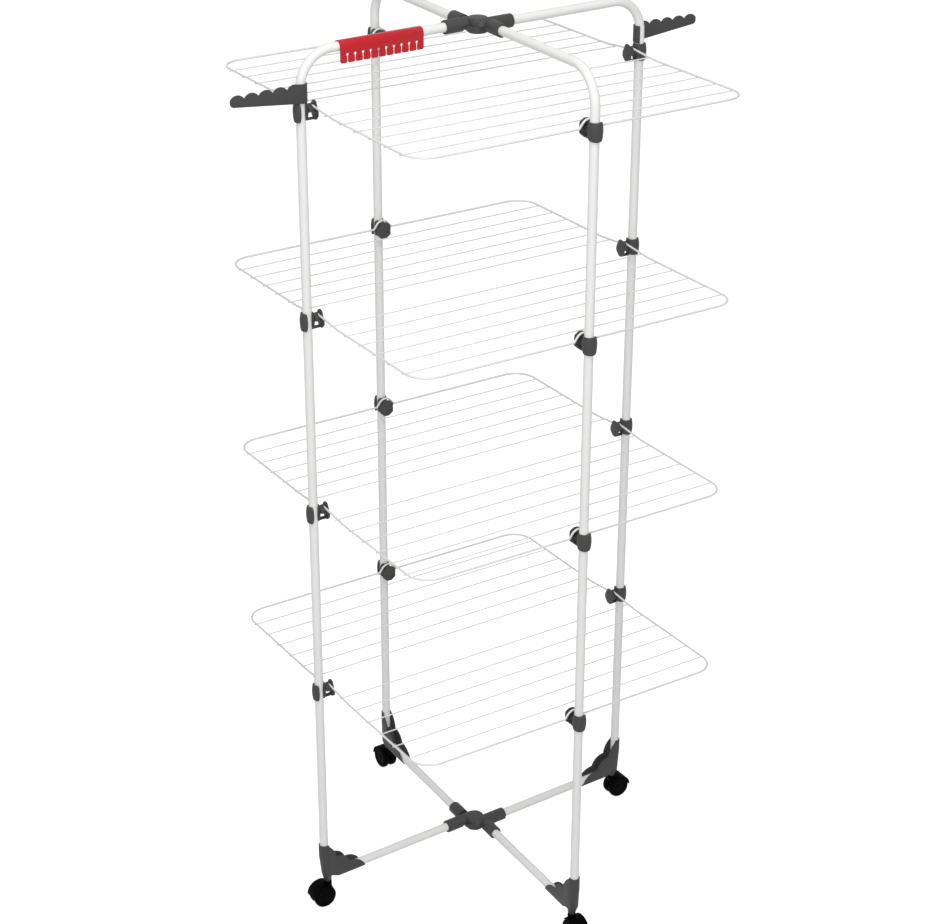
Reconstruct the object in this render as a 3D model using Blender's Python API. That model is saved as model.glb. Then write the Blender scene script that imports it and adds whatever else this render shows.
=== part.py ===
"""Tower clothes airer.

Two tube hoops cross and scissor on a hub at the top and a hub at the base. Each post carries four clips.
Eight wire wings, two to a level, hang from the clips of the first hoop and latch on those of the second.
Metres, Z up, origin on the floor below the fold axis. The first hoop lies along X, the second along Y.
"""
import math

import bpy
from mathutils import Matrix, Vector

# Hoops: tubes, heights and the fold
HOOP_REACH = 0.3725
TUBE_DIAMETER = 0.018
TUBE_WALL = 0.0009
TUBE_SIDES = 10
TOP_BAR_HEIGHT = 1.8215
BASE_BAR_HEIGHT = 0.068
BEND_RADIUS = 0.066
BEND_STEPS = 6
BAR_SIDE_STEP = 0.0135
FIT = 0.0003
OVERRUN = 0.001
WELD_DISTANCE = 0.000002

# Levels
LEVELS = 4
TOP_LEVEL_DROP = 0.104
LOWEST_LEVEL_HEIGHT = 0.5205

# Hubs
HUB_RADIUS = 0.019
HUB_HALF_HEIGHT = 0.0135
HUB_EDGE = 0.0012
HUB_SIDES = 20
SOCKET_RADIUS = 0.014
SOCKET_SIDES = 12
SOCKET_MOUTH = 0.0655
SOCKET_ROOT = 0.028
SOCKET_FLOOR = 0.003
PIVOT_RADIUS = 0.006
PIVOT_SIDES = 16

# Clips
CLIP_RADIUS = 0.0147
CLIP_TOP_RADIUS = 0.0135
CLIP_FOOT_RADIUS = 0.0108
CLIP_TOP = 0.0155
CLIP_BOTTOM = 0.0205
CLIP_BELLY = 0.004
CLIP_TAPER = 0.012
CLIP_SLANT = 0.0025
CLIP_SLIT = 0.006
CLIP_SLIT_ANGLE = 75.0
CLIP_ARC_STEPS = 10
NECK_RADIUS = 0.0055
NECK_DROP = 0.001
NECK_SIDES = 10
SHIELD_WALL = 0.0017
SHIELD_TURN = 115.0
SHIELD_OVERLAP = 8.0
SHIELD_STEPS = 4
HEAD_DISTANCE = 0.0282
HEAD_THICKNESS = 0.0035
HEAD_WIDTH = 0.031
HEAD_HEIGHT = 0.037
HEAD_SIDE_SHIFT = 0.003
HEAD_TURN = 5.0
HEAD_CORNER = 0.004
HEAD_CORNER_SHARES = (
    (1.00, 0.30),
    (1.00, -0.42),
    (0.62, -1.00),
    (-0.55, -1.00),
    (-1.00, -0.35),
    (-1.00, 0.30),
    (-0.50, 1.00),
    (-0.05, 1.00),
)

# Wings
LATCH_INSET = 0.0172
LANE_INSET = 0.0175
WING_CORNER = 0.045
WING_CORNER_STEPS = 3
FRAME_WIRE = 0.004
FRAME_WIRE_SIDES = 6
RUNG_WIRE = 0.0025
RUNG_WIRE_SIDES = 4
RUNG_OVERHANG = 0.003
WELD_SINK = 0.0009
WIRE_PITCHES = 7
HOOK_RUN = 0.075
HOOK_END_ANGLE = 190.0
HOOK_STEPS = 4
LATCH_HALF_WIDTH = 0.0205
LATCH_CREST = 0.016
LATCH_STEPS = 3

# Feet
CHEEK = 0.0018
FOOT_HEIGHT = 0.081
FOOT_REACH = 0.094
FOOT_LOBE_SHARES = (
    (0.03, 0.98, 0.05),
    (0.15, 0.86, 0.10),
    (0.26, 0.55, 0.03),
    (0.43, 0.52, 0.12),
    (0.57, 0.28, 0.03),
    (0.75, 0.25, 0.14),
    (0.97, 0.02, 0.06),
)
FOOT_CORNER_STEPS = 2
FOOT_UNDER_STEPS = 6
BELLY_START = 0.012
BELLY_END = 0.044
BELLY_RISE = 0.0125
BELLY_STEPS = 3
POST_SEAT = 0.055
BAR_SEAT = 0.030
PLUG_HEIGHT = 0.016
FOOT_WAIST = 0.003
STEM_INSET = 0.0065
SPIGOT_WAIST_RADIUS = 0.0092
SPIGOT_FOOT_RADIUS = 0.007
SPIGOT_SIDES = 16

# Casters
WHEEL_RADIUS = 0.0245
WHEEL_WIDTH = 0.013
WHEEL_EDGE = 0.0022
WHEEL_SIDES = 16
WHEEL_DISH = 0.0015
WHEEL_DISH_RADIUS = 0.017
TRAIL = 0.013
WEB_HALF = 0.003
WEB_GAP = 0.0006
HOOD_CLEARANCE = 0.0008
HOOD_WALL = 0.0024
HOOD_WIDTH = 0.034
HOOD_START_ANGLE = 16.0
HOOD_END_ANGLE = 168.0
HOOD_STEPS = 8
HOOD_SIDES = 20
AXLE_RADIUS = 0.003
AXLE_SIDES = 12
AXLE_BOSS_RADIUS = 0.007
AXLE_LENGTH = 0.029
STEM_RADIUS = 0.004
STEM_REACH = 0.024
STEM_SIDES = 12
STEM_BOSS_RADIUS = 0.0085
SEAT_HEIGHT = 0.0540

# Hanger arms
ARM_REACH = 0.145
ARM_THICKNESS = 0.003
ARM_PLAY = 0.0008
ARM_TOP = 0.053
ARM_SHOULDER_DROP = 0.003
ARM_TIP_DROP = 0.002
ARM_TIP_BOTTOM = 0.0308
ARM_TIP_CORNER = 0.004
SCALLOPS = 5
SCALLOP_PITCH = 0.0281
SCALLOP_HEIGHT = 0.0082
SCALLOP_STEPS = 5
WRAP_END_ANGLE = 262.0
WRAP_STEPS = 8

# Hook rail on the top bar
RAIL_START = 0.075
RAIL_END_GAP = 0.0517
RAIL_WALL = 0.002
RAIL_DROP = 0.0295
RAIL_LIP_ANGLE = -20.0
RAIL_STEPS = 10
KEYHOLES = 10
KEYHOLE_MARGIN = 0.0166
KEYHOLE_RADIUS = 0.0028
KEYHOLE_SLIT = 0.0018
KEYHOLE_RISE = 0.0155
KEYHOLE_STEPS = 6

# Sizes that follow from those above
TUBE_RADIUS = TUBE_DIAMETER / 2
BORE_RADIUS = TUBE_RADIUS + FIT
BAR_RUN = math.hypot(HOOP_REACH, BAR_SIDE_STEP)
BAR_SKEW = math.atan2(BAR_SIDE_STEP, HOOP_REACH)
SOCKET_START = SOCKET_ROOT + SOCKET_FLOOR
TOP_LEVEL_HEIGHT = TOP_BAR_HEIGHT - TOP_LEVEL_DROP
LEVEL_PITCH = (TOP_LEVEL_HEIGHT - LOWEST_LEVEL_HEIGHT) / (LEVELS - 1)
NECK_RISE = -NECK_DROP
HOOK_RADIUS = NECK_RADIUS + FIT + FRAME_WIRE / 2
LANE_STEP = FRAME_WIRE + 3 * FIT
WING_DEPTH = HOOP_REACH - LATCH_INSET
WING_LEFT = LANE_INSET - HOOP_REACH
WING_RIGHT = HOOP_REACH - LANE_INSET - LANE_STEP
WIRE_PITCH = WING_DEPTH / WIRE_PITCHES
CHANNEL_HALF = BORE_RADIUS + CHEEK
RAIL_BORE = BORE_RADIUS + FIT
RAIL_LENGTH = BAR_RUN - SOCKET_MOUTH - RAIL_END_GAP - RAIL_START
KEYHOLE_PITCH = (RAIL_LENGTH - 2 * KEYHOLE_MARGIN) / (KEYHOLES - 1)

QUARTERS = {
    "right_back": (0.0, -1),
    "left_back": (90.0, 1),
    "left_front": (180.0, -1),
    "right_front": (270.0, 1),
}


def flats(radius, sides):
    """Corner radius of a polygon whose flats lie at the given radius."""
    return radius / math.cos(math.pi / sides)


def ring(radius, height, sides, turn=0.0):
    """Points of a level circle; turn shifts them by that share of a side."""
    angles = [2 * math.pi * (k + turn) / sides for k in range(sides)]
    return [Vector((radius * math.cos(a), radius * math.sin(a), height)) for a in angles]


def arc(centre_x, centre_y, radius, start, end, steps):
    """Points along an arc drawn in a plane, from start to end in degrees."""
    angles = [math.radians(start + (end - start) * k / steps) for k in range(steps + 1)]
    return [(centre_x + radius * math.cos(a), centre_y + radius * math.sin(a)) for a in angles]


def rounded(corners, steps):
    """An outline whose corners, each (x, y, radius), are turned into arcs."""
    outline = []
    for k, (x, y, radius) in enumerate(corners):
        here = Vector((x, y))
        back = (Vector(corners[k - 1][:2]) - here).normalized()
        ahead = (Vector(corners[(k + 1) % len(corners)][:2]) - here).normalized()
        if radius == 0:
            outline.append((x, y))
            continue
        half = back.angle(ahead) / 2
        centre = here + (back + ahead).normalized() * (radius / math.sin(half))
        start = here + back * (radius / math.tan(half)) - centre
        end = here + ahead * (radius / math.tan(half)) - centre
        turn = math.copysign(math.pi - 2 * half, start.x * end.y - start.y * end.x)
        for step in range(steps + 1):
            point = centre + Matrix.Rotation(turn * step / steps, 2) @ start
            outline.append((point.x, point.y))
    return outline


def skin(loops, closed=False):
    """A closed surface over loops of equal count: capped at both ends, or joined last to first."""
    count = len(loops[0])
    points = [point for loop in loops for point in loop]
    faces = []
    spans = len(loops) if closed else len(loops) - 1
    for row in range(spans):
        low = row * count
        high = (row + 1) % len(loops) * count
        for k in range(count):
            after = (k + 1) % count
            faces.append((low + k, low + after, high + after, high + k))
    if not closed:
        faces.append(tuple(reversed(range(count))))
        faces.append(tuple(range(len(points) - count, len(points))))
    return points, faces


def prism(outline, low, high):
    """An outline raised from one height to another."""
    return skin([[Vector((x, y, level)) for x, y in outline] for level in (low, high)])


def joined(*solids):
    """Separate solids kept in one set of points and faces."""
    points = []
    faces = []
    for solid_points, solid_faces in solids:
        start = len(points)
        points += solid_points
        faces += [tuple(start + k for k in face) for face in solid_faces]
    return points, faces


def moved(solid, matrix):
    """A solid carried by a matrix."""
    points, faces = solid
    return [matrix @ Vector(point) for point in points], faces


def carried(path, radius, sides, across):
    """Rings of a round section carried along a path, square at its ends and mitred at its corners."""
    points = [Vector(point) for point in path]
    directions = [(b - a).normalized() for a, b in zip(points, points[1:])]
    side = Vector(across)
    rings = []
    for k, point in enumerate(points):
        arriving = directions[max(k - 1, 0)]
        leaving = directions[min(k, len(directions) - 1)]
        if k > 1:
            side = directions[k - 2].rotation_difference(arriving) @ side
        other = arriving.cross(side)
        mitre = (arriving + leaving).normalized()
        loop = []
        for flat in ring(radius, 0, sides, 1 / 2):
            offset = side * flat.x + other * flat.y
            slide = offset.dot(mitre) / arriving.dot(mitre)
            loop.append(point + offset - arriving * slide)
        rings.append(loop)
    return rings


def rod(path, radius, sides, across):
    """A solid round wire along a path."""
    return skin(carried(path, radius, sides, across))


def tube(path, radius, wall, sides, across):
    """A hollow round tube along a path, open at both ends."""
    outside = carried(path, radius, sides, across)
    inside = carried(path, radius - wall, sides, across)
    return skin(outside + inside[::-1], closed=True)


def mesh_of(solid, name):
    """A mesh with a solid's points and faces."""
    mesh = bpy.data.meshes.new(name)
    mesh.from_pydata([tuple(point) for point in solid[0]], [], solid[1])
    return mesh


def shaped(name, solid, *steps):
    """The mesh of a solid after Boolean steps, each ("UNION" or "DIFFERENCE", other solid)."""
    body = bpy.data.objects.new(name, mesh_of(solid, name))
    bpy.context.collection.objects.link(body)
    tools = []
    for operation, other in steps:
        tool = bpy.data.objects.new(name + "_tool", mesh_of(other, name + "_tool"))
        bpy.context.collection.objects.link(tool)
        tool.hide_render = True
        tool.display_type = "WIRE"
        tools.append(tool)
        step = body.modifiers.new(operation.lower(), "BOOLEAN")
        step.operation = operation
        step.solver = "EXACT"
        step.object = tool
    body.modifiers.new("weld", "WELD").merge_threshold = WELD_DISTANCE
    graph = bpy.context.evaluated_depsgraph_get()
    mesh = bpy.data.meshes.new_from_object(body.evaluated_get(graph))
    for spare in (body, *tools):
        bpy.data.objects.remove(spare)
    mesh.name = name
    return mesh


def smooth(mesh, angle=35.0):
    """Shade a mesh smooth, but for its sharp edges."""
    mesh.shade_smooth()
    mesh.set_sharp_from_angle(angle=math.radians(angle))
    return mesh


def finish(name, colour, roughness, metallic=0.0):
    """A plain Principled material."""
    material = bpy.data.materials.new(name)
    material.use_nodes = True
    shader = material.node_tree.nodes["Principled BSDF"]
    shader.inputs["Base Color"].default_value = (*colour, 1)
    shader.inputs["Roughness"].default_value = roughness
    shader.inputs["Metallic"].default_value = metallic
    return material


def empty(name, parent=None, location=(0, 0, 0), turn=0.0):
    """An axis that pieces are parented to; turn is about Z, in degrees."""
    axis = bpy.data.objects.new(name, None)
    bpy.context.collection.objects.link(axis)
    axis.parent = parent
    axis.location = location
    axis.rotation_euler.z = math.radians(turn)
    return axis


def piece(name, mesh, material, parent=None, location=(0, 0, 0), rotation=(0, 0, 0)):
    """One named piece of the airer; rotation in degrees."""
    if not mesh.materials:
        mesh.materials.append(material)
    body = bpy.data.objects.new(name, mesh)
    bpy.context.collection.objects.link(body)
    body.parent = parent
    body.location = location
    body.rotation_euler = [math.radians(angle) for angle in rotation]
    return body


def bar_frame(side, height=0.0):
    """Frame of a bar in its quarter: at the post, X running inward along the bar."""
    turn = math.atan2(side * BAR_SIDE_STEP, -HOOP_REACH)
    return Matrix.Translation((HOOP_REACH, 0, height)) @ Matrix.Rotation(turn, 4, "Z")


def post_mesh(side):
    """A post, its bend and its half of the top bar, in one tube."""
    foot = BASE_BAR_HEIGHT + POST_SEAT + FIT
    bend = arc(BEND_RADIUS, TOP_BAR_HEIGHT - BEND_RADIUS, BEND_RADIUS, 180, 90, BEND_STEPS)
    path = [(0, 0, foot)]
    path += [(x, 0, z) for x, z in bend]
    path.append((BAR_RUN - SOCKET_START - FIT, 0, TOP_BAR_HEIGHT))
    solid = tube(path, TUBE_RADIUS, TUBE_WALL, TUBE_SIDES, (0, 1, 0))
    return smooth(mesh_of(moved(solid, bar_frame(side)), "post"))


def base_bar_mesh(side):
    """A straight base bar from its foot to the hub."""
    path = [(BAR_SEAT + FIT, 0, 0), (BAR_RUN - SOCKET_START - FIT, 0, 0)]
    solid = tube(path, TUBE_RADIUS, TUBE_WALL, TUBE_SIDES, (0, 1, 0))
    return smooth(mesh_of(moved(solid, bar_frame(side, BASE_BAR_HEIGHT)), "base_bar"))


def hub_mesh(name, pivot):
    """Half of a hub: a half-height disc between two sockets, with a pivot pin or its bore.

    The sockets are full round past their root and half-height before it, where the other half lies.
    """
    disc_loops = [
        ring(HUB_RADIUS, FIT / 2, HUB_SIDES),
        ring(HUB_RADIUS, HUB_HALF_HEIGHT - HUB_EDGE, HUB_SIDES),
        ring(HUB_RADIUS - HUB_EDGE, HUB_HALF_HEIGHT, HUB_SIDES),
    ]
    sockets = []
    bores = []
    for half_turn in (0, math.pi):
        outward = Matrix.Rotation(half_turn, 4, "Z") @ bar_frame(-1)
        mouth = BAR_RUN - SOCKET_MOUTH
        body = rod([(BAR_RUN, 0, 0), (mouth, 0, 0)], SOCKET_RADIUS, SOCKET_SIDES, (0, 1, 0))
        bore_radius = flats(BORE_RADIUS, TUBE_SIDES)
        bore_path = [(BAR_RUN - SOCKET_START, 0, 0), (mouth - OVERRUN, 0, 0)]
        bore = rod(bore_path, bore_radius, TUBE_SIDES, (0, 1, 0))
        sockets.append(moved(body, outward))
        bores.append(moved(bore, outward))
    box = [(SOCKET_ROOT, -SOCKET_MOUTH), (SOCKET_ROOT, SOCKET_MOUTH)]
    box += [(-SOCKET_ROOT, SOCKET_MOUTH), (-SOCKET_ROOT, -SOCKET_MOUTH)]
    below = prism(box, -SOCKET_RADIUS - OVERRUN, FIT / 2)
    steps = [("UNION", sockets[0]), ("UNION", sockets[1]), ("DIFFERENCE", below)]
    if pivot:
        pin_foot = FIT - HUB_HALF_HEIGHT
        pin = skin([ring(PIVOT_RADIUS, z, PIVOT_SIDES) for z in (pin_foot, HUB_HALF_HEIGHT - HUB_EDGE)])
        steps.append(("UNION", pin))
    else:
        hole_radius = flats(PIVOT_RADIUS + FIT, PIVOT_SIDES)
        steps.append(("DIFFERENCE", skin([ring(hole_radius, z, PIVOT_SIDES) for z in (0, HUB_HALF_HEIGHT + OVERRUN)])))
    steps += [("DIFFERENCE", bore) for bore in bores]
    return smooth(shaped(name, skin(disc_loops), *steps))


def shield(start, end, near, far):
    """A wall curved round the neck, between two distances from the post; angles run from +Y up."""
    inner = HOOK_RADIUS + FRAME_WIRE / 2 + FIT
    outline = arc(0, 0, inner + SHIELD_WALL, start, end, SHIELD_STEPS)
    outline += arc(0, 0, inner / math.cos(math.radians((end - start) / SHIELD_STEPS / 2)), end, start, SHIELD_STEPS)
    loops = [[Vector((-x, y, NECK_RISE + z)) for y, z in outline] for x in (near, far)]
    return skin(loops)


def clip_mesh():
    """A clip: a split barrel round the post, a round neck inward, a head, and shields over the wire ends.

    Seen along the neck, the wing of each side hooks over it in a lane of its own, and the shield of
    the other side covers the end of that hook.
    """
    slit_half = math.degrees(math.asin(CLIP_SLIT / 2 / CLIP_RADIUS))
    start = CLIP_SLIT_ANGLE + slit_half
    end = CLIP_SLIT_ANGLE + 360 - slit_half
    bore = BORE_RADIUS / math.cos(math.radians((end - start) / CLIP_ARC_STEPS / 2))
    rings = (
        (CLIP_FOOT_RADIUS, -CLIP_BOTTOM, CLIP_SLANT),
        (CLIP_RADIUS, -CLIP_TAPER, 0),
        (CLIP_RADIUS, CLIP_BELLY, 0),
        (CLIP_TOP_RADIUS, CLIP_TOP, 0),
    )
    loops = []
    for radius, z, slant in rings:
        outline = arc(0, 0, radius, start, end, CLIP_ARC_STEPS)
        outline += arc(0, 0, bore, end, start, CLIP_ARC_STEPS)
        loops.append([Vector((x, y, z - slant * x / radius)) for x, y in outline])
    root = (bore + CLIP_TOP_RADIUS) / 2
    neck = rod([(-root, 0, NECK_RISE), (-HEAD_DISTANCE, 0, NECK_RISE)], NECK_RADIUS, NECK_SIDES, (0, 1, 0))
    half_width = HEAD_WIDTH / 2
    half_height = HEAD_HEIGHT / 2
    corners = [(half_height * z, half_width * y, HEAD_CORNER) for z, y in HEAD_CORNER_SHARES]
    head = prism(rounded(corners, 1), -HEAD_THICKNESS / 2, HEAD_THICKNESS / 2)
    turn = Matrix.Rotation(math.radians(-HEAD_TURN), 4, "Z")
    upright = turn @ Matrix.Translation((0, HEAD_SIDE_SHIFT, 0)) @ Matrix.Rotation(-math.pi / 2, 4, "Y")
    head = moved(head, Matrix.Translation((-HEAD_DISTANCE, 0, 0)) @ upright)
    middle = LANE_INSET + LANE_STEP / 2
    low = 90 - SHIELD_TURN
    shields = (
        shield(low, 90 + SHIELD_OVERLAP, root, middle - FIT / 2),
        shield(90 - SHIELD_OVERLAP, 180 - low, middle + FIT / 2, HEAD_DISTANCE),
    )
    steps = [("UNION", neck), ("UNION", head)] + [("UNION", solid) for solid in shields]
    return smooth(shaped("clip", skin(loops), *steps), 40)


def wing_mesh():
    """A wire wing: a bent frame with hooked ends and a latch hump, and rungs welded below it.

    Its origin lies on the hinge axis and the wing runs to +Y, a wire pitch past its last rung.
    """
    wire = FRAME_WIRE / 2
    drop = -NECK_RISE
    reach = math.hypot(HOOK_RUN, NECK_RISE)
    tangent = math.degrees(math.acos(HOOK_RADIUS / reach) - math.atan2(NECK_RISE, HOOK_RUN))
    step = math.radians((HOOK_END_ANGLE - tangent) / HOOK_STEPS)
    hook = arc(0, 0, HOOK_RADIUS / math.cos(step / 2), HOOK_END_ANGLE, tangent, HOOK_STEPS)
    left = WING_LEFT
    right = WING_RIGHT
    path = [(left, y, z) for y, z in hook]
    path.append((left, HOOK_RUN, drop))
    far = WING_DEPTH
    bend = WING_CORNER
    path += [(x, y, drop) for x, y in arc(left + bend, far - bend, bend, 180, 90, WING_CORNER_STEPS)]
    path += latch_points(far, drop)
    path += [(x, y, drop) for x, y in arc(right - bend, far - bend, bend, 90, 0, WING_CORNER_STEPS)]
    path.append((right, HOOK_RUN, drop))
    path += [(right, y, z) for y, z in hook[::-1]]
    frame = rod(path, wire, FRAME_WIRE_SIDES, (1, 0, 0))
    rung_drop = wire + RUNG_WIRE / 2 - WELD_SINK
    slope = 1 / math.tan(math.radians(tangent))
    rungs = []
    for k in range(1, WIRE_PITCHES):
        ends = (left - wire - RUNG_OVERHANG, right + wire + RUNG_OVERHANG)
        lift = max(HOOK_RUN - k * WIRE_PITCH, 0) * slope
        route = [(x, k * WIRE_PITCH, drop + lift - rung_drop) for x in ends]
        rungs.append(rod(route, RUNG_WIRE / 2, RUNG_WIRE_SIDES, (0, 1, 0)))
    return smooth(shaped("wing", frame, ("UNION", joined(*rungs))))


def latch_points(far, drop):
    """The hump in a wing's outer wire, which passes over the neck of a clip."""
    rise = LATCH_CREST - NECK_RISE
    reach = math.hypot(LATCH_HALF_WIDTH, NECK_RISE)
    tangent = math.degrees(math.acos(rise / reach) - math.atan2(NECK_RISE, LATCH_HALF_WIDTH))
    crest = arc(0, 0, rise, 180 - tangent, tangent, LATCH_STEPS)
    points = [(-LATCH_HALF_WIDTH, far, drop)]
    points += [(x, far, z) for x, z in crest]
    points.append((LATCH_HALF_WIDTH, far, drop))
    return points


def foot_mesh(side):
    """A foot: a channel round the post and the base bar, with lobed cheeks and a tapered stem below.

    Its origin lies on the post's axis at the height of the base bar.
    """
    across = Matrix.Rotation(math.pi / 2, 4, "X")
    along = Matrix.Rotation(math.pi / 2, 4, "Z") @ across
    past = FOOT_REACH + OVERRUN
    top = FOOT_HEIGHT + OVERRUN
    section = arc(0, 0, CHANNEL_HALF, 180, 360, FOOT_UNDER_STEPS)
    section += [(CHANNEL_HALF, top), (-CHANNEL_HALF, top)]
    cheeks = moved(prism(section, 0, past), along)
    belly = [(x, -CHANNEL_HALF + BELLY_RISE * ((BELLY_END - x) / (BELLY_END - BELLY_START)) ** 2)
             for x in (BELLY_START + (BELLY_END - BELLY_START) * k / BELLY_STEPS for k in range(BELLY_STEPS + 1))]
    corners = [(x * FOOT_REACH, z * FOOT_HEIGHT, r * FOOT_HEIGHT) for x, z, r in FOOT_LOBE_SHARES]
    corners += [(FOOT_REACH, -CHANNEL_HALF, CHEEK)]
    corners += [(x, z, 0) for x, z in belly[::-1]]
    corners += [(0, belly[0][1], 0), (0, FOOT_HEIGHT, 0)]
    side_view = moved(prism(rounded(corners[::-1], FOOT_CORNER_STEPS), -top, top), across)
    bottom = SEAT_HEIGHT + FIT - BASE_BAR_HEIGHT
    sleeve = skin([
        [point + Vector((inset, 0, 0)) for point in ring(radius, z, SPIGOT_SIDES, 1 / 2)]
        for radius, inset, z in (
            (SPIGOT_FOOT_RADIUS, STEM_INSET, bottom),
            (SPIGOT_WAIST_RADIUS, STEM_INSET, -FOOT_WAIST),
            (CHANNEL_HALF, 0, POST_SEAT - CHEEK),
            (CHANNEL_HALF, 0, FOOT_HEIGHT),
        )
    ])
    bore_radius = flats(BORE_RADIUS, TUBE_SIDES)
    post_bore = skin([ring(bore_radius, z, TUBE_SIDES, 1 / 2) for z in (POST_SEAT, top)])
    well = [(0, POST_SEAT), (BORE_RADIUS, POST_SEAT), (BAR_SEAT, 0), (past, 0), (past, top), (0, top)]
    channel = moved(prism(well, -BORE_RADIUS, BORE_RADIUS), across)
    bar_bore = rod([(BAR_SEAT, 0, 0), (past + OVERRUN, 0, 0)], bore_radius, TUBE_SIDES, (0, 1, 0))
    plug_radius = (TUBE_RADIUS - TUBE_WALL) * math.cos(math.pi / TUBE_SIDES) - FIT
    plug = skin([ring(plug_radius, z, SPIGOT_SIDES) for z in (POST_SEAT - CHEEK, POST_SEAT + PLUG_HEIGHT)])
    stem_top = SEAT_HEIGHT + STEM_REACH + FIT - BASE_BAR_HEIGHT
    stem_bore = skin([
        [point + Vector((STEM_INSET, 0, 0)) for point in ring(flats(STEM_RADIUS + FIT, STEM_SIDES), z, STEM_SIDES)]
        for z in (bottom - OVERRUN, stem_top)
    ])
    mesh = shaped(
        "foot", cheeks,
        ("INTERSECT", side_view), ("UNION", sleeve), ("DIFFERENCE", post_bore), ("DIFFERENCE", channel),
        ("DIFFERENCE", bar_bore), ("UNION", plug), ("DIFFERENCE", stem_bore),
    )
    mesh.transform(bar_frame(side, BASE_BAR_HEIGHT))
    return smooth(mesh)


def hood_mesh():
    """A caster's hood, web and stem, with the swivel axis at its origin and the wheels trailing on +X."""
    well = flats(WHEEL_RADIUS, WHEEL_SIDES) + HOOD_CLEARANCE
    outer = well + HOOD_WALL
    middle = well + HOOD_WALL / 2
    shell = arc(0, 0, outer, HOOD_START_ANGLE, HOOD_END_ANGLE, HOOD_STEPS)
    web = arc(0, 0, middle, HOOD_START_ANGLE, HOOD_END_ANGLE, HOOD_STEPS)
    web += arc(0, 0, AXLE_BOSS_RADIUS, HOOD_END_ANGLE, 360 + HOOD_START_ANGLE, HOOD_STEPS)
    across = Matrix.Translation((TRAIL, 0, WHEEL_RADIUS)) @ Matrix.Rotation(math.pi / 2, 4, "X")
    hood = moved(prism(shell, -HOOD_WIDTH / 2, HOOD_WIDTH / 2), across)
    past = HOOD_WIDTH / 2 + OVERRUN
    hollow = moved(skin([ring(flats(well, HOOD_SIDES), y, HOOD_SIDES) for y in (-past, past)]), across)
    web = moved(prism(web, -WEB_HALF, WEB_HALF), across)
    boss = skin([ring(STEM_BOSS_RADIUS, z, STEM_SIDES, 1 / 2) for z in (WHEEL_RADIUS + TRAIL, SEAT_HEIGHT)])
    pin_foot = SEAT_HEIGHT - HOOD_WALL
    pin = skin([ring(STEM_RADIUS, z, STEM_SIDES, 1 / 2) for z in (pin_foot, SEAT_HEIGHT + STEM_REACH)])
    hole_radius = flats(AXLE_RADIUS + FIT, AXLE_SIDES)
    hole = moved(skin([ring(hole_radius, y, AXLE_SIDES) for y in (-past, past)]), across)
    steps = [("UNION", boss), ("DIFFERENCE", hollow), ("UNION", web), ("UNION", pin), ("DIFFERENCE", hole)]
    return smooth(shaped("hood", hood, *steps))


def wheel_mesh():
    """A caster wheel about Y, its face dished and closed outward at +Y, with a blind bore inward."""
    tread = flats(WHEEL_RADIUS, WHEEL_SIDES)
    dish_floor = WHEEL_WIDTH - WHEEL_DISH
    bore_end = AXLE_LENGTH / 2 - WEB_HALF - WEB_GAP + FIT
    bore = flats(AXLE_RADIUS + FIT, WHEEL_SIDES)
    section = [
        (bore, bore_end),
        (bore, 0),
        (tread - WHEEL_EDGE, 0),
        (tread, WHEEL_EDGE),
        (tread, WHEEL_WIDTH - WHEEL_EDGE),
        (tread - WHEEL_EDGE, WHEEL_WIDTH),
        (WHEEL_DISH_RADIUS, WHEEL_WIDTH),
        (WHEEL_DISH_RADIUS - WHEEL_DISH, dish_floor),
    ]
    loops = [ring(radius, z, WHEEL_SIDES, 1 / 2) for radius, z in section]
    mesh = mesh_of(moved(skin(loops), Matrix.Rotation(-math.pi / 2, 4, "X")), "wheel")
    return smooth(mesh)


def axle_mesh():
    """The axle of a caster, along Y."""
    loops = [ring(AXLE_RADIUS, y, AXLE_SIDES) for y in (-AXLE_LENGTH / 2, AXLE_LENGTH / 2)]
    return smooth(mesh_of(moved(skin(loops), Matrix.Rotation(-math.pi / 2, 4, "X")), "axle"))


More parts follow.
